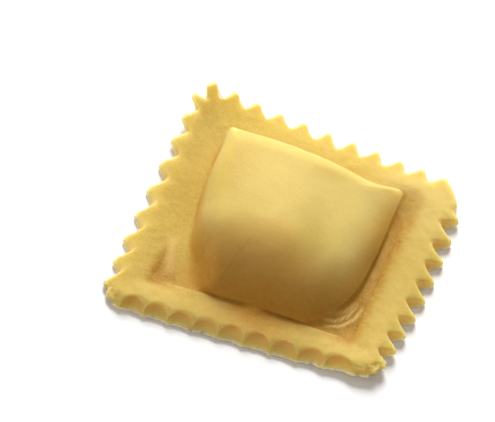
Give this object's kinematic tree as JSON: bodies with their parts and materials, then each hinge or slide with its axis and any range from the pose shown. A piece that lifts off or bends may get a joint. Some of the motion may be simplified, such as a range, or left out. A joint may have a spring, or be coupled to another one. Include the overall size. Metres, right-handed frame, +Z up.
{
  "type": "ravioli",
  "caption": "Square filled pasta lying flat: a plump pillow in a pressed pocket, with a flat flange all round and a toothed, wheel-cut edge.",
  "frame": {"origin": "on the flat underside, under the middle of the toothed outline's box", "axes": "+Z up out of the flat underside; +X along the longer side; -Y towards the side of the pillow that slopes gently"},
  "size_m": [0.0526, 0.0468, 0.0127],
  "materials": {
    "pasta": "matt, slightly translucent yellow egg dough with fine grain"
  },
  "bodies": {
    "root": {"ravioli": "pasta"}
  },
  "joints": []
}
